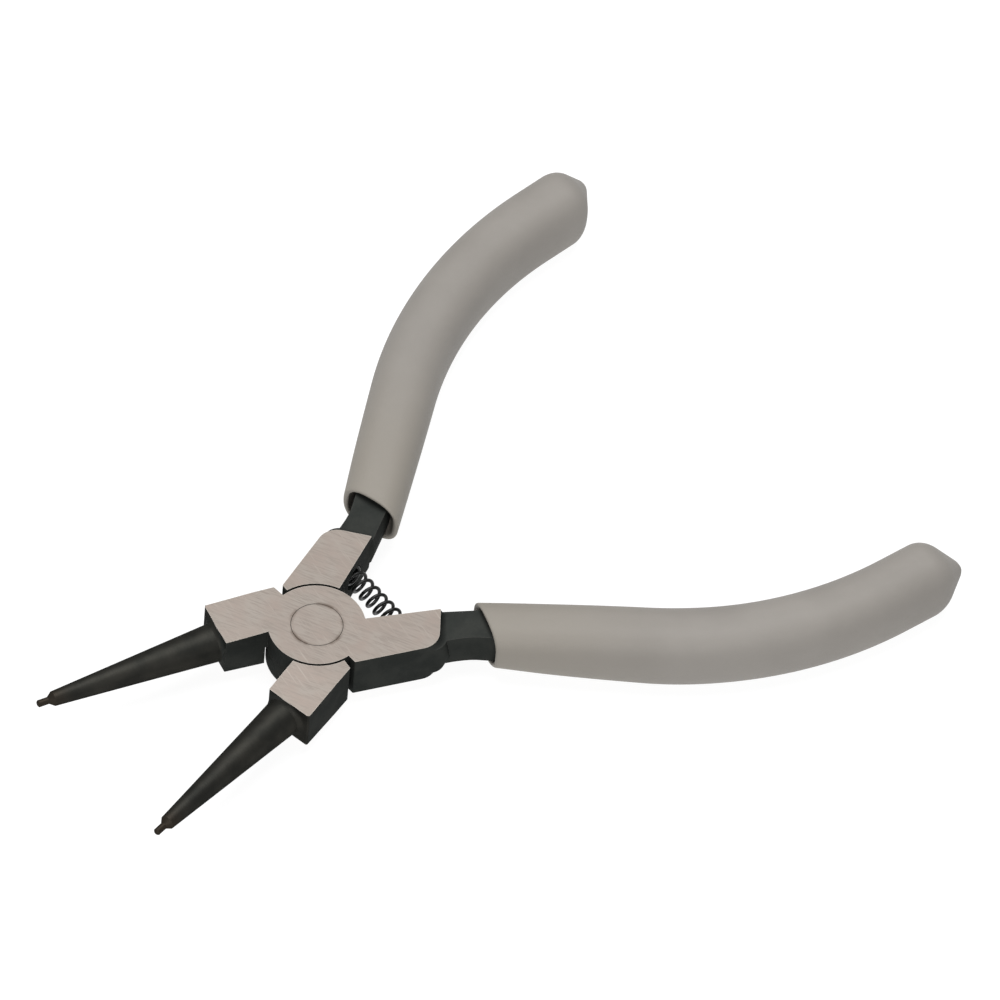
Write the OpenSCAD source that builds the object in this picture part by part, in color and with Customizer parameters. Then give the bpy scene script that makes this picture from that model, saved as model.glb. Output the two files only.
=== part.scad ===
// Internal circlip pliers, straight noses, lap joint with a flush rivet, return spring and sleeve grips.
// Millimetres. The origin is on the pivot axis at the joint's underside, +X points to the tips, +Z is up.
// Each lever is drawn with the tips together, then swung open by half_open for the rest pose.

/* [Joint] */
// Diameter of the round boss of each lever
boss_d = 14.7; // [13:0.1:17]
// Thickness of the ground head
head_t = 7.6; // [6.8:0.1:9]
// Diameter of the rivet's shank
rivet_d = 6; // [5:0.1:7]
// How far the rivet's flush heads spread beyond its shank
rivet_flare = 0.9; // [0.5:0.1:1.2]
// Running clearance round the rivet
rivet_clear = 0.05; // [0.02:0.01:0.1]
// Gap between a boss and the blocks of the other lever
boss_clear = 0.35; // [0.2:0.05:0.6]
// Gap between the two lapped boss faces
lap_clear = 0.1; // [0.04:0.02:0.2]

/* [Jaws] */
// How far the jaw block reaches in front of the boss
jaw_reach = 7; // [5:0.1:10]
// How far the jaw block stands out beside the boss
jaw_shoulder = 1.2; // [0.8:0.1:2]
// Gap between the jaw blocks with the tips together
jaw_gap = 1.8; // [1:0.1:2.6]
// How much each ground face falls towards the front of the jaw
jaw_drop = 0.3; // [0:0.05:0.5]
// Angle of the jaw's shoulder line from the centre line
jaw_shoulder_a = 66; // [60:1:72]

/* [Noses] */
// Length of the tapered nose, from the jaw's front face to its end
nose_len = 26.7; // [18:0.1:34]
// Distance by which the nose stands inward from the middle of the jaw's front face
nose_in = 0.6; // [0:0.1:0.8]
// Diameter of the nose at the jaw
nose_root_d = 5.9; // [4.6:0.1:6.2]
// Diameter of the nose at its end
nose_end_d = 2.3; // [1.7:0.1:2.6]
// Fillet between the nose and the jaw
nose_fillet = 0.9; // [0.3:0.1:1.2]
// Length of the sloping shoulder behind the tip pin
tip_shoulder = 0.8; // [0.4:0.1:1.4]
// Diameter of the tip pin
pin_d = 1.1; // [0.8:0.05:1.4]
// Length of the tip pin
pin_len = 1.75; // [1.2:0.05:2.6]
// Gap between the nose ends when the tool is fully closed
tip_gap = 0.2; // [0.1:0.05:0.6]

/* [Shanks] */
// Length of the shank's inner face, from the boss to the end of the ground face
shank_len = 11.5; // [9.5:0.1:14]
// How far the shank block stands out beside the boss
shank_shoulder = 0.95; // [0.6:0.05:1.6]
// Angle at which the shank's outer face flares out
shank_flare = 3.2; // [0:0.2:6]
// Angle of the shank's inner face from the centre line with the tips together
shank_in_a = 8.2; // [6:0.2:11]
// Radius of the corner at the end of the ground face
shank_corner_r = 3.2; // [1:0.1:4]
// Radius of the same corner at the parting line
parting_corner_r = 0.4; // [0.2:0.1:1]
// How far that corner stands out at the parting line beyond the ground face
corner_reach = 0.8; // [0:0.1:1.2]
// Width of the sloping step from the ground face down to the neck
neck_step = 1; // [0.5:0.1:1.4]

/* [Handles] */
// Angle of the handle from the centre line with the tips together
handle_a = 21.8; // [18:0.1:26]
// Length of bare neck between the shank and the mouth of the grip
neck_len = 6.8; // [5:0.1:10]
// Distance from the shank's inner corner to the centre line of the handle
neck_inset = 1.5; // [1.2:0.1:2.6]
// Width of the tang
tang_w = 5.9; // [5:0.1:6.6]
// Thickness of the tang
tang_t = 5.6; // [4.8:0.1:6.4]
// Length of the tang inside the grip
tang_len = 69; // [60:1:80]
// Length of the straight part of the handle, from the mouth of the grip
straight_len = 24; // [18:0.1:32]
// Radius of the handle's bend
bend_r = 61.4; // [45:0.1:75]
// Angle of the handle's bend
bend_a = 36.8; // [28:0.1:42]

/* [Grips] */
// Width of the grip at its mouth
mouth_w = 9.2; // [8.4:0.1:11]
// Thickness of the grip at its mouth
mouth_t = 8.4; // [7.8:0.1:11]
// Width of the grip along its bend
grip_w = 10.1; // [9:0.1:12]
// Thickness of the grip along its bend
grip_t = 11.6; // [9.5:0.1:13]
// Width of the grip before its end dome
end_w = 9.8; // [9:0.1:12.5]
// Thickness of the grip before its end dome
end_t = 12.6; // [10:0.1:13.5]
// Distance from the mouth to the place where the bend's width and thickness are measured
grip_mid = 32; // [26:1:40]
// Solid length at the closed end, from the tang to its tip
end_wall = 6.2; // [5:0.1:9]
// Half angle of the blunt cone at the closed end
end_cone_a = 47; // [36:1:50]
// Radius between the grip's side and the end cone
end_shoulder_r = 4.5; // [3:0.1:7]
// Radius of the cone's blunt tip
end_tip_r = 2.2; // [1.5:0.1:3.4]
// How far the blunt tip lies outward from the handle's centre line
end_skew = 1.3; // [0:0.1:2]
// Squareness of the grip's section, 2 is an ellipse
grip_power = 2.5; // [2:0.1:3.5]
// Clearance between the tang and the grip's pocket
pocket_clear = 0.12; // [0.06:0.02:0.3]
// Extra gap round the neck at the mouth of the grip
mouth_gap = 0.05; // [0:0.05:0.5]
// Length of the rounding at the grip's lip
lip_r = 0.5; // [0.3:0.05:0.8]
// Angle by which the mouth of the grip is cut back on its outer side
mouth_slant = 16; // [0:1:20]

/* [Spring] */
// Outer diameter of the return spring
spring_d = 3.5; // [3:0.1:4.6]
// Diameter of the spring wire
wire_d = 0.55; // [0.4:0.05:0.8]
// Pitch of the open turns
spring_pitch = 1.6; // [1.2:0.05:2]
// Distance from the boss to the spring's axis, along the shank's inner face
spring_out = 5.9; // [4.5:0.1:8]
// Depth of the spring's seat in each shank
seat_depth = 2.5; // [1.5:0.1:3.5]
// Clearance round the spring in its seats
seat_clear = 0.2; // [0.1:0.05:0.3]

/* [Rest pose] */
// Angle by which each lever stands open at rest
half_open = 18.3; // [14:0.1:20]
// Further opening before the shoulders of the two levers meet
stop_gap = 8; // [5:0.5:12]

/* [Hidden] */
$fn = 96;

black_steel = "#3b3c3b";
ground_steel = "#b4aca4";
spring_black = "#232424";
sleeve_grey = "#a59f97";

// Joint
boss_r = boss_d / 2;
half_t = head_t / 2;
rivet_r = rivet_d / 2;
// How far cutters run past the faces they open
beyond = 1;
// How far a blended block stays inside the faces of its neighbour
skin = 0.03;

// Jaw and nose, drawn with the tips together
jaw_in_y = -jaw_gap / 2;
jaw_out_y = -(boss_r + jaw_shoulder);
jaw_mid_y = (jaw_in_y + jaw_out_y) / 2;
jaw_half_w = (jaw_in_y - jaw_out_y) / 2;
jaw_front_x = boss_r + jaw_reach;
nose_total = nose_len + tip_shoulder + pin_len;
nose_y = jaw_mid_y + nose_in;
end_aim = asin((-nose_y - nose_end_d / 2 - tip_gap / 2) / nose_len);
pin_aim = asin((-nose_y - pin_d / 2 - tip_gap / 2) / nose_total);
nose_a = min(end_aim, pin_aim);
face_lean = jaw_half_w * tan(nose_a);
front_half_t = half_t - jaw_drop;
pin_chamfer = 0.18;
edge_r = 0.15;
jaw_corner_r = 0.25;
shoulder_corner_r = 0.2;

// Shank
shank_shoulder_a = 180 - jaw_shoulder_a - 2 * half_open - stop_gap;
shank_out_y = boss_r + shank_shoulder;
shank_end = polar(boss_r + shank_len, 180 - shank_in_a);
shank_out_start = [-shank_out_y / tan(shank_shoulder_a), shank_out_y];
handle_dir = 180 - handle_a;
outer_dir = 180 - shank_flare;
shank_corner = crossing(shank_end, handle_dir - 90, shank_out_start, outer_dir);
end_line = norm(shank_corner - shank_end);

// Handle
mouth = shank_end + polar(neck_inset, handle_dir - 90) + polar(neck_len, handle_dir);
root_depth = 2.5;
root_s = -(neck_len + root_depth);
root_v = end_line - neck_inset;
inner_slope = tan(handle_a - shank_in_a);
tang_half_w = tang_w / 2;
tang_half_t = tang_t / 2;
tang_draft = 0.35;
parting_half = 0.8;
neck_ledge = 0.1;
// How far the neck's parting line stands out from the shank's inner corner
neck_swell = 0.5;
neck_sweep = neck_len + root_depth - 1;
neck_sweep_power = 1.5;
tang_step = 4;
tang_stations = [for (i = [0 : ceil(tang_len / tang_step)]) min(tang_len, i * tang_step)];

// Grip
grip_len = tang_len + end_wall;
end_r = (end_w + end_t) / 4;
apex_s = grip_len + end_tip_r * (1 / sin(end_cone_a) - 1);
cone_s = apex_s - end_r / tan(end_cone_a);
dome_s = cone_s - end_shoulder_r * tan(end_cone_a / 2);
ring_n = 32;
// Points by which the outer rings are turned to line up with the pocket's corners
ring_turn = 2;
mouth_fade = 5;
slant_fade = 12;

// Spring, along Y at rest
rest_in_a = shank_in_a + half_open;
spring_x = -(boss_r + spring_out) * cos(rest_in_a);
seat_y = (boss_r + spring_out) * sin(rest_in_a) + seat_depth;
seat_gap = 0.05;
spring_r = (spring_d - wire_d) / 2;
spring_half = seat_y - seat_gap - wire_d / 2;
open_turns = round((2 * spring_half - 2 * wire_d) / spring_pitch);
turns = open_turns + 2;
turn_steps = 14;
wire_sides = 8;

function polar(r, a) = [r * cos(a), r * sin(a)];
function mix(a, b, w) = a + (b - a) * w;
function clamp01(x) = max(0, min(1, x));
function smooth(x) = let (t = clamp01(x)) t * t * (3 - 2 * t);
function power_of(c, e) = sign(c) * pow(abs(c), e);

// Point where the line through p at angle a meets the line through q at angle b
function crossing(p, a, q, b) =
    let (d = q - p)
    p + polar((d.x * sin(b) - d.y * cos(b)) / sin(b - a), a);

// One corner of an outline, as an arc of radius r that touches both edges
function corner_arc(before, at, after, r, steps = 8) =
    let (
        u = (before - at) / norm(before - at),
        w = (after - at) / norm(after - at),
        half = acos(u * w) / 2,
        centre = at + (u + w) / norm(u + w) * r / sin(half),
        first = at + u * r / tan(half) - centre,
        last = at + w * r / tan(half) - centre,
        a0 = atan2(first.y, first.x),
        swing = atan2(first.x * last.y - first.y * last.x, first * last)
    )
    [for (i = [0 : steps]) centre + polar(r, a0 + swing * i / steps)];

// Outline through the points, each corner rounded by its own radius
function rounded(points, radii) =
    let (n = len(points))
    [
        for (i = [0 : n - 1])
            each radii[i] == 0
                ? [points[i]]
                : corner_arc(points[(i + n - 1) % n], points[i], points[(i + 1) % n], radii[i])
    ];

// Handle's centre line: straight, bent, straight again
function bend_at(s) = max(0, min(bend_a, (s - straight_len) / bend_r * 180 / PI));
function heading(s) = handle_dir + bend_at(s);
function handle_point(s) =
    let (b = bend_at(s), rest = max(0, s - straight_len - bend_a * PI / 180 * bend_r))
    mouth
        + polar(min(s, straight_len), handle_dir)
        + bend_r * (polar(1, handle_dir + b - 90) - polar(1, handle_dir - 90))
        + polar(rest, handle_dir + b);

// Section point (v outward, z up) at station s
function on_handle(s, vz) =
    let (p = handle_point(s) + polar(vz.x, heading(s) - 90))
    [p.x, p.y, vz.y];
function ring_at(s, section) = [for (vz = section) on_handle(s, vz)];

// Tang section: flat top and bottom, drafted sides, a narrow band at the parting line
function tang_section(v_in, v_out, half_h, grow = 0) =
    let (a = v_in - grow, b = v_out + grow, h = half_h + grow, d = tang_draft, p = parting_half)
    [[b, -p], [b, p], [b - d, h], [a + d, h], [a, p], [a, -p], [a + d, -h], [b - d, -h]];
function divided(section, count) =
    let (n = len(section), m = count / n)
    [for (i = [0 : n - 1], j = [0 : m - 1]) mix(section[i], section[(i + 1) % n], j / m)];

// Neck edges: the inner one runs on from the shank, the outer one sweeps in from the shank's corner
function neck_in(s) =
    s < -neck_len
        ? -neck_inset + neck_ledge - inner_slope * (neck_len + s)
        : mix(-tang_half_w, -neck_inset - neck_swell, -s / neck_len);
function neck_out(s) =
    let (x = clamp01((s - root_s) / neck_sweep))
    tang_half_w + (root_v - tang_half_w) * pow(1 - x, neck_sweep_power);

// Grip section: a rounded square that changes from the mouth to the end
function grip_half(s, at_mouth, at_bend, at_end) =
    s < grip_mid
        ? mix(at_bend, at_mouth, pow(1 - s / grip_mid, 2)) / 2
        : mix(at_bend, at_end, smooth((s - grip_mid) / (dome_s - grip_mid))) / 2;
function grip_section(a, b) =
    [
        for (k = [0 : ring_n - 1])
            let (t = (k - ring_turn) * 360 / ring_n)
            [a * power_of(cos(t), 2 / grip_power), b * power_of(sin(t), 2 / grip_power)]
    ];
function grip_outer(s) =
    grip_section(grip_half(s, mouth_w, grip_w, end_w), grip_half(s, mouth_t, grip_t, end_t));
function pocket(s) =
    let (gap = pocket_clear + mouth_gap * pow(1 - clamp01(s / mouth_fade), 2))
    divided(tang_section(-tang_half_w, tang_half_w, tang_half_t, gap), ring_n);

// Ring of the sleeve, slanted at the mouth and square to the handle further back
function sleeve_ring(s, section) =
    let (slant = tan(mouth_slant) * (1 - smooth(s / slant_fade)))
    [for (vz = section) on_handle(s + slant * vz.x, vz)];

// Half profile of the closed end, as [radius, station]: shoulder arc, cone, blunt tip
function end_profile() =
    let (
        side = [end_r, dome_s],
        shoulder = [end_r, cone_s],
        apex = [0, apex_s],
        steps = 8,
        tip = corner_arc(shoulder, apex, [-end_r, cone_s], end_tip_r, steps)
    )
    concat(
        corner_arc(side - [0, end_r], shoulder, apex, end_shoulder_r, steps),
        [for (i = [0 : steps / 2 - 1]) tip[i]]);

// Skin over a list of rings, with each end closed by a fan round the ring's middle
function middle(ring) = [for (p = ring) 1] * ring / len(ring);
module loft(rings) {
    n = len(rings[0]);
    m = len(rings);
    far = (m - 1) * n;
    first_middle = m * n;
    last_middle = first_middle + 1;
    points = concat([for (r = rings) each r], [middle(rings[0]), middle(rings[m - 1])]);
    sides = [
        for (i = [0 : m - 2], k = [0 : n - 1])
            let (a = i * n + k, b = i * n + (k + 1) % n)
            each [[a, b, b + n], [a, b + n, a + n]]
    ];
    first_cap = [for (k = [0 : n - 1]) [(k + 1) % n, k, first_middle]];
    last_cap = [for (k = [0 : n - 1]) [far + k, far + (k + 1) % n, last_middle]];
    polyhedron(points, concat(first_cap, sides, last_cap), convexity = 8);
}

module jaw_plan() {
    inside = [boss_r / 2, jaw_in_y];
    front_in = [jaw_front_x - face_lean, jaw_in_y];
    front_out = [jaw_front_x + face_lean, jaw_out_y];
    shoulder = [-jaw_out_y / tan(jaw_shoulder_a), jaw_out_y];
    polygon(rounded([[0, 0], inside, front_in, front_out, shoulder],
                    [0, 0, edge_r, jaw_corner_r, shoulder_corner_r]));
}

module shank_plan() {
    inside = polar(boss_r / 2, 180 - shank_in_a);
    polygon(rounded([[0, 0], shank_out_start, shank_corner, shank_end, inside],
                    [0, shoulder_corner_r, shank_corner_r, edge_r, 0]));
}

// Blocks and boss in full thickness, with the ground faces falling towards the front of the jaw
module head() {
    fall = atan(jaw_drop / jaw_reach);
    difference() {
        linear_extrude(head_t, center = true) {
            jaw_plan();
            shank_plan();
            circle(boss_r);
        }
        for (side = [0, 180])
            rotate([side, 0, 0])
                translate([boss_r, 0, half_t])
                    rotate([0, fall, 0])
                        translate([0, -boss_d, 0])
                            cube([2 * jaw_reach, 2 * boss_d, half_t]);
    }
}

// Revolves a profile of [radius, distance from the jaw] about the nose's axis
module turned_on_nose(profile) {
    translate([jaw_front_x - nose_in * tan(nose_a), nose_y, 0])
        rotate([0, 0, nose_a])
            rotate([0, 90, 0])
                rotate_extrude()
                    polygon(profile);
}

// Tapered nose, sloping shoulder and tip pin, turned in one
module nose() {
    root_r = nose_root_d / 2;
    pin_r = pin_d / 2;
    turned_on_nose([
        [0, -root_depth], [root_r, -root_depth], [root_r, nose_fillet],
        [nose_end_d / 2, nose_len], [pin_r, nose_len + tip_shoulder],
        [pin_r, nose_total - pin_chamfer], [pin_r - pin_chamfer, nose_total], [0, nose_total]]);
}

// Fillet round the nose, cut off where it would stand out beyond the faces of the jaw
module nose_root() {
    foot_r = nose_root_d / 2 - skin;
    centre = [foot_r + nose_fillet, nose_fillet];
    arc = [for (a = [0 : 15 : 90]) centre - nose_fillet * [sin(a), cos(a)]];
    top = front_half_t - skin;
    inside = jaw_in_y - edge_r - skin;
    intersection() {
        turned_on_nose(concat([[0, -root_depth], [centre.x, -root_depth]], arc, [[0, nose_fillet]]));
        translate([jaw_front_x - jaw_reach, jaw_out_y + skin, -top])
            cube([2 * jaw_reach, inside - jaw_out_y - skin, 2 * top]);
    }
}

// End of the shank below the ground faces: it slopes out by neck_step in a hollow curve,
// and its corner sharpens and stands further out towards the parting line
function step_outline(shift, corner_r, reach) =
    let (
        end = shank_end + polar(shift, handle_dir) + polar(skin, handle_dir - 90),
        foot = crossing(end, handle_dir - 90, shank_out_start - [0, skin], outer_dir),
        corner = foot + polar(reach, outer_dir),
        inner_root = end - polar(root_depth + shift, 180 - shank_in_a),
        outer_root = corner - polar(root_depth + shank_corner_r + shift, outer_dir)
    )
    rounded([outer_root, corner, end, inner_root], [0, corner_r, 0, 0]);

module neck_step_block() {
    rise = half_t - skin - tang_half_t;
    hollow = [for (a = [90 : -15 : 0]) [neck_step * (1 - sin(a)), tang_half_t + rise * (1 - cos(a))]];
    wall = [for (part = [2 : -1 : 0]) [neck_step, tang_half_t * part / 3]];
    upper = concat(hollow, wall);
    levels = concat(upper, [for (i = [len(upper) - 2 : -1 : 0]) [upper[i].x, -upper[i].y]]);
    loft([
        for (l = levels)
            let (
                height = abs(l.y) / half_t,
                r = mix(parting_corner_r, shank_corner_r, height),
                reach = corner_reach * (1 - height)
            )
            [for (p = step_outline(l.x, r, reach)) [p.x, p.y, l.y]]
    ]);
}

// Neck and tang along the handle's centre line
module tang() {
    neck_rings = 10;
    loft(concat(
        [for (i = [0 : neck_rings - 1])
            let (s = root_s * (1 - i / neck_rings))
            ring_at(s, tang_section(neck_in(s), neck_out(s), tang_half_t))],
        [for (s = tang_stations) ring_at(s, tang_section(-tang_half_w, tang_half_w, tang_half_t))]));
}

// Bore for the rivet, with the seat of its flush head at the top
module rivet_bore() {
    shank = rivet_r + rivet_clear;
    rotate_extrude()
        polygon([[0, -half_t], [shank, -half_t], [shank, half_t - rivet_flare],
                 [shank + rivet_flare + beyond, half_t + beyond], [0, half_t + beyond]]);
}

module spring_seat() {
    rotate([0, 0, half_open])
        translate([spring_x, 0, 0])
            rotate([-90, 0, 0])
                cylinder(d = spring_d + 2 * seat_clear, h = seat_y);
}

// Lever with its boss in the upper half, drawn with the tips together
module lever() {
    difference() {
        union() {
            head();
            nose_root();
            nose();
            neck_step_block();
            tang();
        }
        translate([0, 0, -half_t - beyond])
            cylinder(r = boss_r + boss_clear, h = half_t + beyond + lap_clear / 2);
        rivet_bore();
        spring_seat();
    }
}

// Sleeve: pocket, rounded lip, outer skin and blunt end as one skin
module grip() {
    pocket_end = tang_len + pocket_clear;
    inner_s = concat([pocket_end], [for (i = [len(tang_stations) - 2 : -1 : 1]) tang_stations[i]]);
    lip_steps = 6;
    outer_step = 3;
    outer_s = [for (s = [lip_r + outer_step : outer_step : dome_s - outer_step / 2]) s];
    loft(concat(
        [for (s = inner_s) sleeve_ring(s, pocket(s))],
        [for (i = [0 : lip_steps])
            let (a = 180 * i / lip_steps, w = (1 - cos(a)) / 2)
            sleeve_ring(lip_r * (1 - sin(a)), mix(pocket(lip_r), grip_outer(lip_r), w))],
        [for (s = outer_s) sleeve_ring(s, grip_outer(s))],
        [for (p = end_profile())
            let (share = p.x / end_r, shift = [end_skew * (1 - share), 0])
            sleeve_ring(p.y, [for (vz = grip_section(end_w / 2 * share, end_t / 2 * share)) vz + shift])]));
}

// Turn count is whole, so both wire ends lie on the same side of the coil
function spring_y(turn) =
    let (open = (2 * spring_half - 2 * wire_d) / open_turns)
    turn < 1 ? -spring_half + wire_d * turn
    : turn > turns - 1 ? spring_half - wire_d * (turns - turn)
    : -spring_half + wire_d + open * (turn - 1);
function coil_point(turn) =
    [spring_r * cos(360 * turn), spring_y(turn), spring_r * sin(360 * turn)];
function coil_ring(turn) =
    let (
        step = 0.002,
        along = coil_point(turn + step) - coil_point(turn - step),
        tangent = along / norm(along),
        out = [cos(360 * turn), 0, sin(360 * turn)],
        side = cross(tangent, out)
    )
    [for (k = [0 : wire_sides - 1])
        let (around = polar(wire_d / 2, 360 * k / wire_sides))
        coil_point(turn) + out * around.x + side * around.y];

module at_rest() {
    translate([0, 0, half_t]) rotate([0, 0, -half_open]) children();
}

module turned_over() {
    translate([0, 0, half_t]) rotate([180, 0, 0]) rotate([0, 0, -half_open]) children();
}

module upper_lever() {
    color(black_steel) at_rest() lever();
}

module lower_lever() {
    color(black_steel) turned_over() lever();
}

module pivot_rivet() {
    color(ground_steel)
        translate([0, 0, half_t])
            rotate_extrude()
                polygon([[0, -half_t], [rivet_r + rivet_flare, -half_t], [rivet_r, -half_t + rivet_flare],
                         [rivet_r, half_t - rivet_flare], [rivet_r + rivet_flare, half_t], [0, half_t]]);
}

module return_spring() {
    color(spring_black)
        translate([spring_x, 0, half_t])
            loft([for (i = [0 : turns * turn_steps]) coil_ring(i / turn_steps)]);
}

module upper_grip() {
    color(sleeve_grey) at_rest() grip();
}

module lower_grip() {
    color(sleeve_grey) turned_over() grip();
}

upper_lever();
lower_lever();
pivot_rivet();
return_spring();
upper_grip();
lower_grip();
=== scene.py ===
"""Internal circlip pliers: two crossed levers, a flush rivet, a return spring, two sleeve grips."""

import math

import bmesh
import bpy
import numpy as np
from mathutils import Matrix, Vector


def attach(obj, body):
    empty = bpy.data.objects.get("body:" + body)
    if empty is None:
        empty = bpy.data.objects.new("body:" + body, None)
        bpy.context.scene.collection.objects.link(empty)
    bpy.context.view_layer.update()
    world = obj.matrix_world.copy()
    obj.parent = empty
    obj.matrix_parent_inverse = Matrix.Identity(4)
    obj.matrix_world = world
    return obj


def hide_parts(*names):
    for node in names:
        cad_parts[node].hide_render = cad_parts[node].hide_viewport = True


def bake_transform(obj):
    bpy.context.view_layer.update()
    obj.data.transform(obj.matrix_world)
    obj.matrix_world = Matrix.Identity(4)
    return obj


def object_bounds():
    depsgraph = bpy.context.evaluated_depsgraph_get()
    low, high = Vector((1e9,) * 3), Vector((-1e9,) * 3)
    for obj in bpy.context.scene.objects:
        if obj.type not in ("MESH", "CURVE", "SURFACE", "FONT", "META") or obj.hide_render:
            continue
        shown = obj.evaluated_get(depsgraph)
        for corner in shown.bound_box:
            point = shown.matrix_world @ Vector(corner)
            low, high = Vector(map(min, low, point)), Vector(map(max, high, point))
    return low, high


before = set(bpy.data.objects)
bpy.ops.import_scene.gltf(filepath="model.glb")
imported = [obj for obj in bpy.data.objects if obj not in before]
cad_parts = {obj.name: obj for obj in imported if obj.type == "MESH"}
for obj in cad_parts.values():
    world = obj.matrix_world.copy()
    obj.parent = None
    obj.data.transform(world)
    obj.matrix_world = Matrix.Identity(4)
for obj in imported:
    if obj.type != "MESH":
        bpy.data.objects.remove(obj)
CAD_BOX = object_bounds()
MM = 0.001

# Lever, in millimetres and degrees, drawn with the tips together and the pivot at the origin
BOSS_R = 7.35
HALF_T = 3.8
JAW_FRONT = 14.4
NOSE_A = 6.2
NOSE_END = 41.0
SHANK_LEN = 11.5
SHANK_IN_A = 8.2
HALF_OPEN = 18.3

# Lever's finish zones: which faces are ground, how far normals are shared, when points merge
FORGED_ZONE, GROUND_ZONE, TURNED_ZONE = 0, 1, 2
GROUND_FROM = 3.3
GROUND_FLAT = 0.99
SMOOTH_TO = 28.0
MERGE = 0.001

# Handle
HANDLE_A = 21.8
NECK_LEN = 6.8
NECK_INSET = 1.5
TANG_W, TANG_T = 5.9, 5.6
TANG_LEN = 69.0
STRAIGHT_LEN = 24.0
BEND_R = 61.4
BEND_A = 36.8

# Grip: its sizes, its closed end, then its mouth and the part of its pocket that can be seen
MOUTH_W, MOUTH_T = 9.2, 8.4
GRIP_W, GRIP_T = 10.1, 11.6
END_W, END_T = 9.8, 12.6
GRIP_MID = 32.0
GRIP_POWER = 2.5
END_WALL = 6.18
END_CONE_A = 47.0
END_SHOULDER_R = 4.5
END_TIP_R = 2.2
END_TIP_STOP_A = 89.0
END_SKEW = 1.3
MOUTH_GAP = 0.17
MOUTH_SLANT = 23.0
SLANT_FADE = 12.0
LIP_R = 0.5
POCKET_SHOWN = 9.0
POCKET_POWER = 8.0
FLARE_LEN = 4.0
FLARE_W, FLARE_T = 7.44, 7.06
FLARE_POWER = 3.0

# Spring, along Y at rest
SPRING_D = 3.5
WIRE_D = 0.55
SPRING_PITCH = 1.6
SPRING_OUT = 5.9
SEAT_DEPTH = 2.5
SEAT_GAP = 0.05

# Fineness of the skins
GRIP_AROUND = 128
POCKET_RINGS = 18
LIP_RINGS = 17
SIDE_RINGS = 150
END_RINGS = 24
WIRE_AROUND = 14
RINGS_PER_TURN = 40


def polar(length, degrees):
    """Point, or array of points, at a length and an angle from the +X axis."""
    angle = np.radians(degrees)
    return np.stack([length * np.cos(angle), length * np.sin(angle)], axis=-1)


def smooth(x):
    """Smoothstep: 0 below 0, 1 above 1, 3x² - 2x³ between."""
    t = np.clip(x, 0.0, 1.0)
    return t * t * (3.0 - 2.0 * t)


def mix(a, b, w):
    """Straight blend: a where w is 0, b where w is 1."""
    return a + (b - a) * w


# Pieces

def at_rest(points, turned_over):
    """Millimetres on the drawn lever to metres on the part: swing the lever open by HALF_OPEN
    about Z, turn it over about X where asked, and lift its mid-plane to HALF_T."""
    turn = math.radians(-HALF_OPEN)
    x = points[..., 0] * math.cos(turn) - points[..., 1] * math.sin(turn)
    y = points[..., 0] * math.sin(turn) + points[..., 1] * math.cos(turn)
    side = -1.0 if turned_over else 1.0
    return np.stack([x, side * y, side * points[..., 2] + HALF_T], axis=-1) * MM


def tube_faces(rings, around):
    """Quads between neighbouring rings of a closed skin, and a fan round a point at each end."""
    i, k = np.meshgrid(np.arange(rings - 1), np.arange(around), indexing="ij")
    a = (i * around + k).ravel()
    b = (i * around + (k + 1) % around).ravel()
    quads = np.stack([a, b, b + around, a + around], axis=1).tolist()
    k = np.arange(around)
    after = (k + 1) % around
    first = np.full(around, rings * around)
    far = (rings - 1) * around
    start = np.stack([after, k, first], axis=1).tolist()
    end = np.stack([far + k, far + after, first + 1], axis=1).tolist()
    return start + quads + end


def rework(mesh, change):
    """Put a mesh through one bmesh operation."""
    work = bmesh.new()
    work.from_mesh(mesh)
    change(work)
    work.to_mesh(mesh)
    work.free()


def skin_mesh(name, rings):
    """Closed smooth mesh over an array of rings (ring, point, xyz), facing outwards, its two ends
    fanned to their middles."""
    count, around = rings.shape[:2]
    points = np.concatenate([rings.reshape(-1, 3), rings[[0, -1]].mean(axis=1)])
    mesh = bpy.data.meshes.new(name)
    mesh.from_pydata(points, [], tube_faces(count, around))
    mesh.shade_smooth()
    rework(mesh, lambda work: bmesh.ops.recalc_face_normals(work, faces=work.faces))
    return mesh


def add_piece(name, mesh, materials, node):
    """Object at the origin that stands for a CAD node and takes its slot's finish."""
    for material in materials:
        mesh.materials.append(material)
    piece = bpy.data.objects.new(name, mesh)
    bpy.context.scene.collection.objects.link(piece)
    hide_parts(node)
    return piece


# Grips: direction of the handle, its mouth, and stations of the closed end

HANDLE_DIR = 180.0 - HANDLE_A
MOUTH = (polar(BOSS_R + SHANK_LEN, 180.0 - SHANK_IN_A)
         + polar(NECK_INSET, HANDLE_DIR - 90.0)
         + polar(NECK_LEN, HANDLE_DIR))
END_R = (END_W + END_T) / 4
APEX_S = TANG_LEN + END_WALL + END_TIP_R * (1 / math.sin(math.radians(END_CONE_A)) - 1)
CONE_S = APEX_S - END_R / math.tan(math.radians(END_CONE_A))
DOME_S = CONE_S - END_SHOULDER_R * math.tan(math.radians(END_CONE_A / 2))


def handle_line(s):
    """Centre line of the handle at stations s: a straight, an arc of BEND_R through BEND_A, a
    straight. Returns the points and the headings in degrees."""
    bend = np.clip(np.degrees((s - STRAIGHT_LEN) / BEND_R), 0.0, BEND_A)
    heading = HANDLE_DIR + bend
    before = polar(np.minimum(s, STRAIGHT_LEN), np.full_like(s, HANDLE_DIR))
    arc = polar(BEND_R, heading - 90.0) - polar(BEND_R, HANDLE_DIR - 90.0)
    beyond = np.maximum(0.0, s - STRAIGHT_LEN - math.radians(BEND_A) * BEND_R)
    return MOUTH + before + arc + polar(beyond, heading), heading


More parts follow.
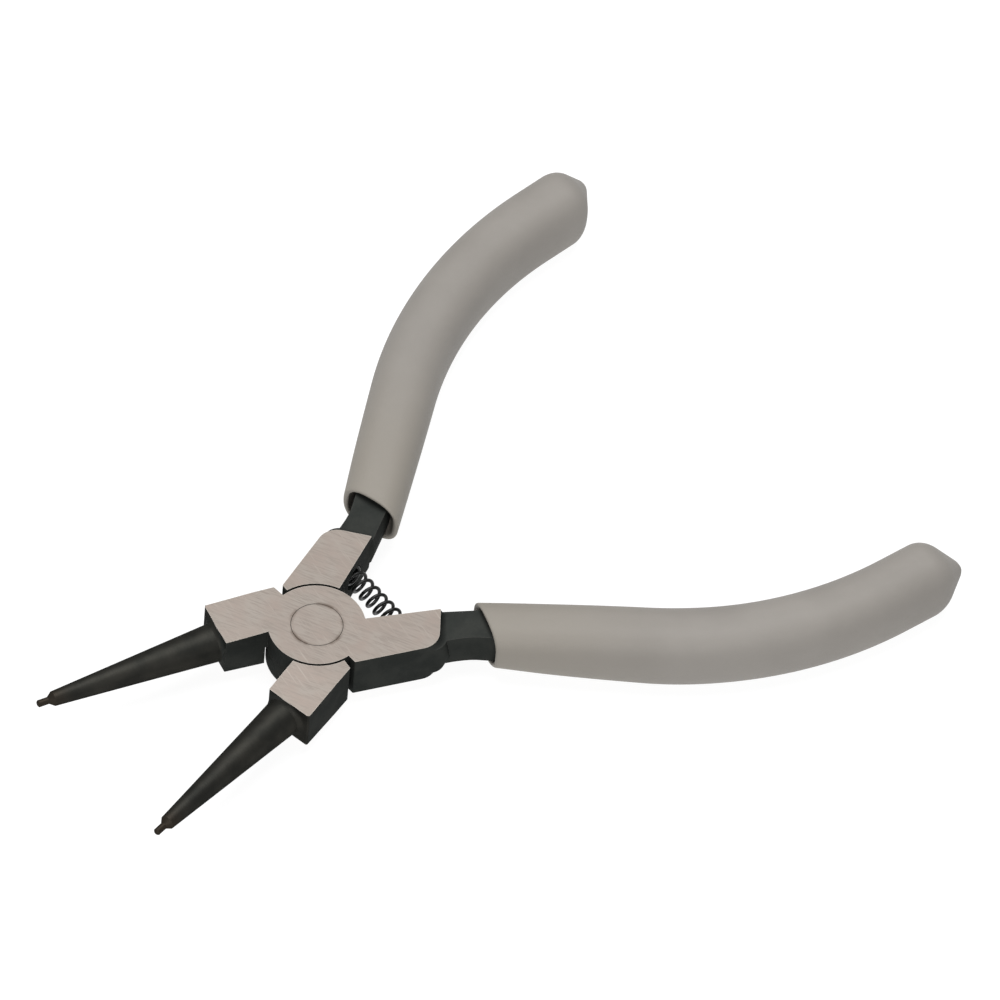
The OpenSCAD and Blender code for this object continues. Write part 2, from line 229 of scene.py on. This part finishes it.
def on_handle(s, section):
    """Rings of points: at each station s, a section (v outwards from the bend's centre, z up). At
    the mouth the section is slanted by MOUTH_SLANT, which moves each point along by its v; further
    back it is square."""
    slant = math.tan(math.radians(MOUTH_SLANT)) * (1.0 - smooth(s / SLANT_FADE))
    points, heading = handle_line(s[:, None] + slant[:, None] * section[..., 0])
    plan = points + section[..., :1] * polar(np.ones_like(heading), heading - 90.0)
    return np.concatenate([plan, section[..., 1:]], axis=-1)


def rounded_square(half_w, half_t, power):
    """Superellipse sections: |v / half_w|^p + |z / half_t|^p = 1, for arrays of half sizes and
    powers."""
    t = np.linspace(0.0, 2 * math.pi, GRIP_AROUND, endpoint=False)
    share = (2.0 / power)[:, None]
    v = half_w[:, None] * np.sign(np.cos(t)) * np.abs(np.cos(t)) ** share
    z = half_t[:, None] * np.sign(np.sin(t)) * np.abs(np.sin(t)) ** share
    return np.stack([v, z], axis=-1)


def grip_half(s, at_mouth, at_bend, at_end):
    """Half width or thickness along the grip: a parabola from the mouth to the bend, then eased on
    to the end."""
    front = mix(at_bend, at_mouth, (1.0 - s / GRIP_MID) ** 2)
    back = mix(at_bend, at_end, smooth((s - GRIP_MID) / (DOME_S - GRIP_MID)))
    return np.where(s < GRIP_MID, front, back) / 2


def end_profile():
    """Radius and station of the closed end: a shoulder arc from the side to the cone, then the arc
    of the blunt tip, which stops just short of its pole."""
    turn = np.radians(np.linspace(0.0, END_CONE_A, END_RINGS))
    shoulder = np.stack([END_R - END_SHOULDER_R * (1 - np.cos(turn)),
                         DOME_S + END_SHOULDER_R * np.sin(turn)], axis=-1)
    tip = np.radians(np.linspace(END_CONE_A, END_TIP_STOP_A, END_RINGS))
    centre_s = TANG_LEN + END_WALL - END_TIP_R
    blunt = np.stack([END_TIP_R * np.cos(tip), centre_s + END_TIP_R * np.sin(tip)], axis=-1)
    return np.concatenate([shoulder, blunt])


def grip_rings():
    """Sleeve as one skin: out of the pocket, which flares from the tang's square to a round arch,
    round the lip as a half ellipse, along the outside, and over the end, whose blunt tip lies
    END_SKEW off the centre line."""
    pocket_s = np.linspace(POCKET_SHOWN, LIP_R, POCKET_RINGS, endpoint=False)
    flare = smooth(1.0 - pocket_s / FLARE_LEN)
    lip_a = np.linspace(0.0, math.pi, LIP_RINGS)
    lip_s = LIP_R * (1 - np.sin(lip_a))
    over = (1 - np.cos(lip_a)) / 2
    side_s = np.linspace(LIP_R, DOME_S, SIDE_RINGS)[1:]
    end = end_profile()[1:]
    shrink = end[:, 0] / END_R

    def half_sizes(tang, flared, at_mouth, at_bend, at_end):
        """Half width or thickness of every ring, from the pocket to the end."""
        at_lip = grip_half(np.array([LIP_R]), at_mouth, at_bend, at_end)
        return np.concatenate([mix(tang / 2 + MOUTH_GAP, flared / 2, flare),
                               mix(flared / 2, at_lip, over),
                               grip_half(side_s, at_mouth, at_bend, at_end),
                               at_end / 2 * shrink])

    power = np.concatenate([mix(POCKET_POWER, FLARE_POWER, flare),
                            mix(FLARE_POWER, GRIP_POWER, over),
                            np.full(len(side_s) + len(end), GRIP_POWER)])
    section = rounded_square(half_sizes(TANG_W, FLARE_W, MOUTH_W, GRIP_W, END_W),
                             half_sizes(TANG_T, FLARE_T, MOUTH_T, GRIP_T, END_T), power)
    section[-len(end):, :, 0] += END_SKEW * (1 - shrink)[:, None]
    return on_handle(np.concatenate([pocket_s, lip_s, side_s, end[:, 1]]), section)


# Spring

def spring_rings():
    """Round wire carried along a helix: end turns closed to one wire's height each, open turns
    between. The wire's section is a circle in the plane of the radius and the normal of the path.
    Returns the rings and the x of the axis."""
    rest_in = math.radians(SHANK_IN_A + HALF_OPEN)
    reach = BOSS_R + SPRING_OUT
    axis_x = -reach * math.cos(rest_in)
    half = reach * math.sin(rest_in) + SEAT_DEPTH - SEAT_GAP - WIRE_D / 2
    turns = round((2 * half - 2 * WIRE_D) / SPRING_PITCH) + 2
    turn = np.linspace(0.0, turns, turns * RINGS_PER_TURN + 1)
    y = np.interp(turn, [0, 1, turns - 1, turns], [-half, -half + WIRE_D, half - WIRE_D, half])
    angle = 2 * math.pi * turn
    out = np.stack([np.cos(angle), np.zeros_like(angle), np.sin(angle)], axis=-1)
    axis = np.stack([np.full_like(y, axis_x), y, np.full_like(y, HALF_T)], axis=-1)
    path = out * ((SPRING_D - WIRE_D) / 2) + axis
    tangent = np.gradient(path, axis=0)
    tangent /= np.linalg.norm(tangent, axis=1, keepdims=True)
    side = np.cross(tangent, out)
    t = np.linspace(0.0, 2 * math.pi, WIRE_AROUND, endpoint=False)[None, :, None]
    rings = path[:, None] + WIRE_D / 2 * (out[:, None] * np.cos(t) + side[:, None] * np.sin(t))
    return rings * MM, axis_x


# Levers

def per_face(mesh, field, width):
    """Array of one value (or one vector of the given width) for each face of a mesh."""
    values = np.empty(len(mesh.polygons) * width)
    mesh.polygons.foreach_get(field, values)
    return values.reshape(-1, width)


def corner_points(mesh):
    """Array of the point's index at each face corner of a mesh."""
    corners = np.empty(len(mesh.loops), dtype=np.int32)
    mesh.loops.foreach_get("vertex_index", corners)
    return corners


def corner_normals(corners, zone, area, normal):
    """Normal at each corner of a triangle mesh: the sum, weighted by area, of the normals of the
    faces round that corner's point that share its face's zone and lean from it by less than
    SMOOTH_TO. Every corner is paired with all corners on its point, and the pairs are summed.
    Flats stay flat, fillets take the turn."""
    face = np.arange(len(corners)) // 3
    order = np.argsort(corners, kind="stable")
    count = np.bincount(corners)
    start = np.cumsum(count) - count
    repeat = count[corners]
    own = np.repeat(np.arange(len(corners)), repeat)
    step = np.arange(len(own)) - np.repeat(np.cumsum(repeat) - repeat, repeat)
    other = face[order[start[corners[own]] + step]]
    lean = (normal[face[own]] * normal[other]).sum(axis=1)
    alike = (zone[face[own]] == zone[other]) & (lean > math.cos(math.radians(SMOOTH_TO)))
    weight = np.where(alike, area[other], 0.0)
    total = np.stack([np.bincount(own, weight * normal[other, k]) for k in range(3)], axis=1)
    return total / np.linalg.norm(total, axis=1, keepdims=True)


def lever_mesh(node):
    """Merged copy of a lever's CAD mesh in three zones: flat faces further than GROUND_FROM from
    the mid-plane are ground, faces in front of the jaw are turned, and the rest is forged."""
    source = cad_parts[node].data
    points = np.empty(len(source.vertices) * 3)
    source.vertices.foreach_get("co", points)
    triangles = corner_points(source).reshape(-1, 3).tolist()
    mesh = bpy.data.meshes.new(node + "_steel")
    mesh.from_pydata(points.reshape(-1, 3), [], triangles)
    rework(mesh, lambda work: bmesh.ops.remove_doubles(work, verts=work.verts, dist=MERGE * MM))

    area = per_face(mesh, "area", 1)[:, 0]
    normal = per_face(mesh, "normal", 3)
    middle = per_face(mesh, "center", 3) / MM
    opened = math.radians(HALF_OPEN)
    ahead = middle[:, 0] * math.cos(opened) + np.abs(middle[:, 1]) * math.sin(opened)
    outer = np.abs(middle[:, 2] - HALF_T) > GROUND_FROM
    ground = outer & (np.abs(normal[:, 2]) > GROUND_FLAT)
    zone = np.where(ahead > JAW_FRONT, TURNED_ZONE, np.where(ground, GROUND_ZONE, FORGED_ZONE))
    zone = zone.astype(np.int32)
    mesh.polygons.foreach_set("material_index", zone)
    mesh.shade_smooth()
    mesh.normals_split_custom_set(corner_normals(corner_points(mesh), zone, area, normal))
    return mesh


# Materials

def new_group(name, inputs, output):
    """Empty shader group with number inputs, given as name and default, and one number output."""
    group = bpy.data.node_groups.new(name, "ShaderNodeTree")
    for label, value in inputs.items():
        socket = group.interface.new_socket(label, in_out="INPUT", socket_type="NodeSocketFloat")
        socket.default_value = value
    group.interface.new_socket(output, in_out="OUTPUT", socket_type="NodeSocketFloat")
    return group, group.nodes.new("NodeGroupInput"), group.nodes.new("NodeGroupOutput")


def cloud_group():
    """Soft patches: noise on Object coordinates, eased to run from 0 to 1 between Low and High."""
    group, given, result = new_group(
        "cloudiness", {"Scale": 200.0, "Detail": 3.0, "Low": 0.35, "High": 0.65}, "Value")
    links = group.links.new
    coords = group.nodes.new("ShaderNodeTexCoord")
    noise = group.nodes.new("ShaderNodeTexNoise")
    span = group.nodes.new("ShaderNodeMapRange")
    span.interpolation_type = "SMOOTHSTEP"
    links(coords.outputs["Object"], noise.inputs["Vector"])
    links(given.outputs["Scale"], noise.inputs["Scale"])
    links(given.outputs["Detail"], noise.inputs["Detail"])
    links(noise.outputs["Fac"], span.inputs["Value"])
    links(given.outputs["Low"], span.inputs["From Min"])
    links(given.outputs["High"], span.inputs["From Max"])
    links(span.outputs["Result"], result.inputs["Value"])
    return group


def streak_group():
    """Fine lines along one direction: noise on Object coordinates that are turned about Z by Turn
    and scaled by Along on the line and by Across to its sides."""
    group, given, result = new_group(
        "streaks", {"Turn": 0.0, "Across": 9000.0, "Along": 300.0, "Detail": 4.0}, "Value")
    links = group.links.new
    coords = group.nodes.new("ShaderNodeTexCoord")
    turn = group.nodes.new("ShaderNodeVectorRotate")
    turn.rotation_type = "Z_AXIS"
    scale = group.nodes.new("ShaderNodeCombineXYZ")
    squeeze = group.nodes.new("ShaderNodeVectorMath")
    squeeze.operation = "MULTIPLY"
    noise = group.nodes.new("ShaderNodeTexNoise")
    noise.inputs["Scale"].default_value = 1.0
    links(coords.outputs["Object"], turn.inputs["Vector"])
    links(given.outputs["Turn"], turn.inputs["Angle"])
    links(given.outputs["Along"], scale.inputs["X"])
    links(given.outputs["Across"], scale.inputs["Y"])
    links(given.outputs["Across"], scale.inputs["Z"])
    links(turn.outputs["Vector"], squeeze.inputs[0])
    links(scale.outputs["Vector"], squeeze.inputs[1])
    links(squeeze.outputs["Vector"], noise.inputs["Vector"])
    links(given.outputs["Detail"], noise.inputs["Detail"])
    links(noise.outputs["Fac"], result.inputs["Value"])
    return group


EDGE_REACH = 0.14
EDGE_SAMPLES = 6


def edge_group():
    """Mask of convex and hollow edges: how far the normal, averaged within EDGE_REACH, leans from
    the surface's own, as one minus their dot product, times Gain."""
    group, given, result = new_group("edge line", {"Gain": 4.0}, "Mask")
    links = group.links.new
    bevel = group.nodes.new("ShaderNodeBevel")
    bevel.samples = EDGE_SAMPLES
    bevel.inputs["Radius"].default_value = EDGE_REACH * MM
    own = group.nodes.new("ShaderNodeNewGeometry")
    dot = group.nodes.new("ShaderNodeVectorMath")
    dot.operation = "DOT_PRODUCT"
    lean = group.nodes.new("ShaderNodeMath")
    lean.operation = "SUBTRACT"
    lean.inputs[0].default_value = 1.0
    gain = group.nodes.new("ShaderNodeMath")
    gain.operation = "MULTIPLY"
    gain.use_clamp = True
    links(bevel.outputs["Normal"], dot.inputs[0])
    links(own.outputs["Normal"], dot.inputs[1])
    links(dot.outputs["Value"], lean.inputs[1])
    links(lean.outputs["Value"], gain.inputs[0])
    links(given.outputs["Gain"], gain.inputs[1])
    links(gain.outputs["Value"], result.inputs["Mask"])
    return group


class Finish:
    """A material under construction: its nodes, its links and its Principled shader."""

    def __init__(self, name):
        self.material = bpy.data.materials.new(name)
        self.material.use_nodes = True
        self.tree = self.material.node_tree
        self.shader = self.tree.nodes["Principled BSDF"]

    def node(self, kind, **settings):
        """New node with the given settings."""
        made = self.tree.nodes.new(kind)
        for key, value in settings.items():
            setattr(made, key, value)
        return made

    def link(self, source, target):
        """Link from one socket to another."""
        self.tree.links.new(source, target)

    def feed(self, label, source):
        """Link from a socket to the shader's input of that name."""
        self.link(source, self.shader.inputs[label])

    def plain(self, values):
        """Values that are the same all over, set on the shader's own sockets."""
        for label, value in values.items():
            self.shader.inputs[label].default_value = value

    def group(self, group, **values):
        """Output of a shader group that is placed with the given values."""
        made = self.node("ShaderNodeGroup", node_tree=group)
        for key, value in values.items():
            made.inputs[key].default_value = value
        return made.outputs[0]

    def place(self):
        """Object coordinates."""
        return self.node("ShaderNodeTexCoord").outputs["Object"]

    def blend(self, mask, low, high):
        """Colour that goes from low to high, each a colour or a socket, as the mask goes from 0
        to 1."""
        made = self.node("ShaderNodeMix", data_type="RGBA")
        self.link(mask, made.inputs["Factor"])
        for value, socket in ((low, made.inputs["A"]), (high, made.inputs["B"])):
            if isinstance(value, tuple):
                socket.default_value = (*value, 1.0)
            else:
                self.link(value, socket)
        return made.outputs["Result"]

    def span(self, mask, low, high):
        """Number that goes from low to high as the mask goes from 0 to 1."""
        made = self.node("ShaderNodeMapRange")
        made.inputs["To Min"].default_value = low
        made.inputs["To Max"].default_value = high
        self.link(mask, made.inputs["Value"])
        return made.outputs["Result"]

    def rise(self, mask, low, high):
        """Mask eased to run from 0 at low to 1 at high."""
        made = self.node("ShaderNodeMapRange", interpolation_type="SMOOTHSTEP")
        made.inputs["From Min"].default_value = low
        made.inputs["From Max"].default_value = high
        self.link(mask, made.inputs["Value"])
        return made.outputs["Result"]

    def bump(self, height, depth, strength, under=None):
        """Normal of a relief that is depth millimetres high, on top of another normal if given."""
        made = self.node("ShaderNodeBump")
        made.inputs["Distance"].default_value = depth * MM
        made.inputs["Strength"].default_value = strength
        self.link(height, made.inputs["Height"])
        if under is not None:
            self.link(under, made.inputs["Normal"])
        return made.outputs["Normal"]


CLOUDS = cloud_group()
STREAKS = streak_group()
EDGES = edge_group()

# Sleeve vinyl: tones, and the distances from the pivot between which the warm tone fades
VINYL_DARK = (0.231, 0.2160, 0.1975)
VINYL_LIGHT = (0.251, 0.2350, 0.2150)
VINYL_WARM = (0.2395, 0.2190, 0.186)
WARM_NEAR, WARM_FAR = 26.0, 60.0


def sleeve_vinyl():
    """Matt dipped vinyl: greige with soft patches, a fine dull grain and a faint orange-peel swell.
    It is warmer towards the mouth, by the distance from the pivot."""
    made = Finish("sleeve_vinyl")
    reach = made.node("ShaderNodeVectorMath", operation="LENGTH")
    made.link(made.place(), reach.inputs[0])
    far = made.rise(reach.outputs["Value"], low=WARM_NEAR * MM, high=WARM_FAR * MM)
    patches = made.group(CLOUDS, Scale=90.0, Low=0.3, High=0.7)
    specks = made.group(CLOUDS, Scale=5200.0, Detail=2.0, Low=0.3, High=0.7)
    swell = made.group(CLOUDS, Scale=700.0, Detail=2.0, Low=0.2, High=0.8)
    base = made.blend(patches, VINYL_DARK, VINYL_LIGHT)
    made.feed("Base Color", made.blend(made.span(far, low=0.35, high=1.0), VINYL_WARM, base))
    made.feed("Roughness", made.span(specks, low=0.52, high=0.66))
    made.plain({"Specular IOR Level": 0.25})
    coarse = made.bump(swell, depth=0.03, strength=0.6)
    made.feed("Normal", made.bump(specks, depth=0.008, strength=0.6, under=coarse))
    return made.material


# Black finishes: tones, and a dull sheen that stays dark where it is seen at a low angle
OXIDE_DARK = (0.0242, 0.0266, 0.0248)
OXIDE_LIGHT = (0.0338, 0.0358, 0.0330)
OXIDE_RUBBED = (0.064, 0.062, 0.058)
TURNED_DARK = (0.0225, 0.0228, 0.0205)
TURNED_LIGHT = (0.0335, 0.0326, 0.0285)
TURNED_TIP = (0.034, 0.028, 0.022)
TIP_BEFORE, TIP_AFTER = 4.0, 1.0
LATHE_SCALE, LATHE_DETAIL = 5200.0, 3.0
BLACK_SHEEN = {"Specular IOR Level": 0.02, "Specular Tint": (0.25, 0.25, 0.25, 1.0)}


def black_oxide():
    """Blackened forging: near-black with grey-green clouds, a finely pitted skin and edges rubbed
    grey."""
    made = Finish("black_oxide")
    clouds = made.group(CLOUDS, Scale=260.0, Low=0.35, High=0.7)
    pits = made.group(CLOUDS, Scale=3200.0, Detail=3.0, Low=0.25, High=0.75)
    edges = made.group(EDGES, Gain=5.0)
    base = made.blend(clouds, OXIDE_DARK, OXIDE_LIGHT)
    made.feed("Base Color", made.blend(edges, base, OXIDE_RUBBED))
    made.feed("Roughness", made.span(pits, low=0.50, high=0.62))
    made.plain({"Metallic": 0.45, **BLACK_SHEEN})
    made.feed("Normal", made.bump(pits, depth=0.006, strength=0.35))
    return made.material


def along_nose(made):
    """Place along a nose's axis: x cos a + |y| sin a, with a the nose's angle at rest."""
    rest_a = math.radians(HALF_OPEN - NOSE_A)
    apart = made.node("ShaderNodeSeparateXYZ")
    beside = made.node("ShaderNodeMath", operation="ABSOLUTE")
    along_x = made.node("ShaderNodeMath", operation="MULTIPLY")
    along_x.inputs[1].default_value = math.cos(rest_a)
    along = made.node("ShaderNodeMath", operation="MULTIPLY_ADD")
    along.inputs[1].default_value = math.sin(rest_a)
    made.link(made.place(), apart.inputs["Vector"])
    made.link(apart.outputs["X"], along_x.inputs[0])
    made.link(apart.outputs["Y"], beside.inputs[0])
    made.link(beside.outputs["Value"], along.inputs[0])
    made.link(along_x.outputs["Value"], along.inputs[2])
    return along.outputs["Value"]


def turned_black():
    """Blackened, turned nose: more metallic than the forging, with fine rings from the lathe along
    its axis and a brown, rubbed tip."""
    made = Finish("turned_black")
    along = along_nose(made)
    rings = made.node("ShaderNodeTexNoise", noise_dimensions="1D")
    rings.inputs["Scale"].default_value = LATHE_SCALE
    rings.inputs["Detail"].default_value = LATHE_DETAIL
    made.link(along, rings.inputs["W"])
    tip = made.rise(along, low=(NOSE_END - TIP_BEFORE) * MM, high=(NOSE_END + TIP_AFTER) * MM)
    clouds = made.group(CLOUDS, Scale=330.0, Low=0.3, High=0.7)
    base = made.blend(clouds, TURNED_DARK, TURNED_LIGHT)
    made.feed("Base Color", made.blend(tip, base, TURNED_TIP))
    made.feed("Roughness", made.span(rings.outputs["Fac"], low=0.46, high=0.58))
    made.plain({"Metallic": 0.62, **BLACK_SHEEN})
    made.feed("Normal", made.bump(rings.outputs["Fac"], depth=0.006, strength=0.5))
    return made.material


# Ground steel: tones, directions of the lines, and radii of the rim's change and of the oil ring
STEEL_DARK = (0.254, 0.215, 0.190)
STEEL_LIGHT = (0.298, 0.270, 0.242)
STEEL_LINE = (0.238, 0.208, 0.185)
STEEL_SCRATCH = (0.297, 0.266, 0.238)
RIVET_LINE = (0.105, 0.096, 0.088)
# Bright edge tone: partly a burr, partly a painted edge highlight
BURR_AND_EDGE_HIGHLIGHT = (0.400, 0.372, 0.342)
DRIED_OIL = (0.095, 0.069, 0.053)
LINES_A, CROSSING_A = -118.0, -84.0
RIVET_RIM, OUTER_RIM = 4.6, 5.4
RING_R, RING_HALF = 3.92, 0.55


def from_axis(made):
    """Distance from the pivot's axis: the length of the Object coordinates with z left out."""
    flat = made.node("ShaderNodeVectorMath", operation="MULTIPLY")
    flat.inputs[1].default_value = (1.0, 1.0, 0.0)
    length = made.node("ShaderNodeVectorMath", operation="LENGTH")
    made.link(made.place(), flat.inputs[0])
    made.link(flat.outputs["Vector"], length.inputs[0])
    return length.outputs["Value"]


def rivet_ring(made, radius):
    """Mask of a thin, broken ring about the pivot: 1 at RING_R from the axis, 0 beyond RING_HALF to
    either side, times soft patches."""
    off = made.node("ShaderNodeMath", operation="SUBTRACT")
    off.inputs[1].default_value = RING_R * MM
    away = made.node("ShaderNodeMath", operation="ABSOLUTE")
    near = made.node("ShaderNodeMapRange", interpolation_type="SMOOTHSTEP")
    near.inputs["From Max"].default_value = RING_HALF * MM
    near.inputs["To Min"].default_value = 1.0
    near.inputs["To Max"].default_value = 0.0
    breaks = made.group(CLOUDS, Scale=360.0, Detail=4.0, Low=0.38, High=0.62)
    both = made.node("ShaderNodeMath", operation="MULTIPLY")
    made.link(radius, off.inputs[0])
    made.link(off.outputs["Value"], away.inputs[0])
    made.link(away.outputs["Value"], near.inputs["Value"])
    made.link(near.outputs["Result"], both.inputs[0])
    made.link(made.span(breaks, low=0.06, high=0.8), both.inputs[1])
    return both.outputs["Value"]


def ground_steel():
    """Ground faces: bare steel with fine lines from the wheel, a few crossing scratches, warm
    mottling, a bright line on the outer edges that is partly a burr and partly a painted edge
    highlight, and a dark line and a brown ring of dried oil round the rivet's head."""
    made = Finish("ground_steel")
    lines = made.group(STREAKS, Turn=math.radians(LINES_A), Across=4800.0, Along=420.0)
    crossing = made.group(STREAKS, Turn=math.radians(CROSSING_A),
                          Across=3400.0, Along=160.0, Detail=2.0)
    patches = made.group(CLOUDS, Scale=260.0, Detail=6.0, Low=0.3, High=0.7)
    edges = made.group(EDGES, Gain=6.0)
    radius = from_axis(made)
    tone = made.blend(patches, STEEL_DARK, STEEL_LIGHT)
    lined = made.blend(made.rise(lines, low=0.42, high=0.68), tone, STEEL_LINE)
    scratched = made.blend(made.rise(crossing, low=0.56, high=0.78), lined, STEEL_SCRATCH)
    outside = made.rise(radius, low=RIVET_RIM * MM, high=OUTER_RIM * MM)
    # Outer edges get a bright line, partly a burr and partly a painted edge highlight; edges inside
    # the rivet's rim get a dark line
    edged = made.blend(edges, scratched, made.blend(outside, RIVET_LINE, BURR_AND_EDGE_HIGHLIGHT))
    made.feed("Base Color", made.blend(rivet_ring(made, radius), edged, DRIED_OIL))
    made.feed("Roughness", made.span(patches, low=0.56, high=0.62))
    made.plain({"Metallic": 1.0})
    wide = made.bump(crossing, depth=0.004, strength=0.4)
    made.feed("Normal", made.bump(lines, depth=0.005, strength=0.45, under=wide))
    return made.material


WIRE_DARK = (0.006, 0.006, 0.006)
WIRE_LIGHT = (0.012, 0.012, 0.0115)


def spring_wire():
    """Drawn black wire: dark, slightly glossy, with faint clouds."""
    made = Finish("spring_wire")
    clouds = made.group(CLOUDS, Scale=900.0, Low=0.3, High=0.7)
    made.feed("Base Color", made.blend(clouds, WIRE_DARK, WIRE_LIGHT))
    made.feed("Roughness", made.span(clouds, low=0.28, high=0.4))
    made.plain({"Specular IOR Level": 0.3})
    return made.material


WHITE = (1.0, 1.0, 1.0, 1.0)
TABLE_DARK = (0.16, 0.16, 0.16)
TABLE_LIGHT = (0.17, 0.17, 0.17)


def floor_table():
    """Pale light table: white acrylic with hardly any tone of its own, lit from below."""
    made = Finish("floor_table")
    tone = made.group(CLOUDS, Scale=3.0, Low=0.2, High=0.8)
    made.feed("Base Color", made.blend(tone, TABLE_DARK, TABLE_LIGHT))
    made.plain({"Roughness": 0.9, "Specular IOR Level": 0.1,
                "Emission Color": WHITE, "Emission Strength": 0.90})
    return made.material


# Assembly

VINYL = sleeve_vinyl()
OXIDE = black_oxide()
TURNED = turned_black()
GROUND = ground_steel()
WIRE = spring_wire()

for side, over in (("upper", False), ("lower", True)):
    body = side + "_half"
    sleeve = add_piece(side + "_sleeve", skin_mesh(side + "_sleeve", at_rest(grip_rings(), over)),
                       [VINYL], side + "_grip")
    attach(sleeve, body)
    lever = add_piece(side + "_forging", lever_mesh(side + "_lever"),
                      [OXIDE, GROUND, TURNED], side + "_lever")
    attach(lever, body)

coil, coil_x = spring_rings()
spring = add_piece("coil", skin_mesh("coil", coil), [WIRE], "return_spring")
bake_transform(spring)

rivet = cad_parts["pivot_rivet"]
for slot in rivet.material_slots:
    slot.material = GROUND

# Floor, in metres, at the height of the part's lowest point

FLOOR_HALF = 3.0
scene = bpy.context.scene
floor_z = CAD_BOX[0][2]
floor_mesh = bpy.data.meshes.new("floor")
floor_mesh.from_pydata([(-FLOOR_HALF, -FLOOR_HALF, floor_z), (FLOOR_HALF, -FLOOR_HALF, floor_z),
                        (FLOOR_HALF, FLOOR_HALF, floor_z), (-FLOOR_HALF, FLOOR_HALF, floor_z)],
                       [], [(0, 1, 2, 3)])
floor_mesh.materials.append(floor_table())
floor = bpy.data.objects.new("floor", floor_mesh)
scene.collection.objects.link(floor)

# Light

LIGHT_AIM = Vector((-0.03, 0.0, 0.0))
WORLD_STRENGTH = 0.30


def area_light(name, place, size, watts):
    """Round soft light, in metres, that faces LIGHT_AIM."""
    lamp = bpy.data.lights.new(name, "AREA")
    lamp.shape = "DISK"
    lamp.size = size
    lamp.energy = watts
    holder = bpy.data.objects.new(name, lamp)
    holder.location = place
    holder.rotation_euler = (LIGHT_AIM - Vector(place)).to_track_quat("-Z", "Y").to_euler()
    scene.collection.objects.link(holder)


area_light("key", place=(-0.25, -0.5, 2.4), size=2.2, watts=66.0)
area_light("fill", place=(1.15, 1.15, 1.05), size=1.4, watts=18.0)

world = bpy.data.worlds.new("studio")
world.use_nodes = True
sky = world.node_tree.nodes["Background"]
sky.inputs["Color"].default_value = WHITE
sky.inputs["Strength"].default_value = WORLD_STRENGTH
scene.world = world
scene.view_settings.view_transform = "Standard"

# Camera, at the photograph's viewing angle: its place in millimetres, its right, its up, its lens

CAMERA_PLACE = Vector((697.7613, 795.7619, 1385.2016))
CAMERA_RIGHT = Vector((-0.78604941, 0.61548172, 0.05752036))
CAMERA_UP = Vector((-0.45734579, -0.6416343, 0.61574365))
CAMERA_SENSOR = 36.0
CAMERA_LENS = 420.6604
CAMERA_SHIFT_X, CAMERA_SHIFT_Y = 0.044902, -0.000129
CAMERA_SEES_TO = 20.0

lens = bpy.data.cameras.new("camera")
lens.sensor_width = CAMERA_SENSOR
lens.lens = CAMERA_LENS
lens.shift_x = CAMERA_SHIFT_X
lens.shift_y = CAMERA_SHIFT_Y
lens.clip_end = CAMERA_SEES_TO
camera = bpy.data.objects.new("camera", lens)
turn = Matrix((CAMERA_RIGHT, CAMERA_UP, CAMERA_RIGHT.cross(CAMERA_UP))).transposed()
camera.matrix_world = Matrix.Translation(CAMERA_PLACE * MM) @ turn.to_4x4()
scene.collection.objects.link(camera)
scene.camera = camera
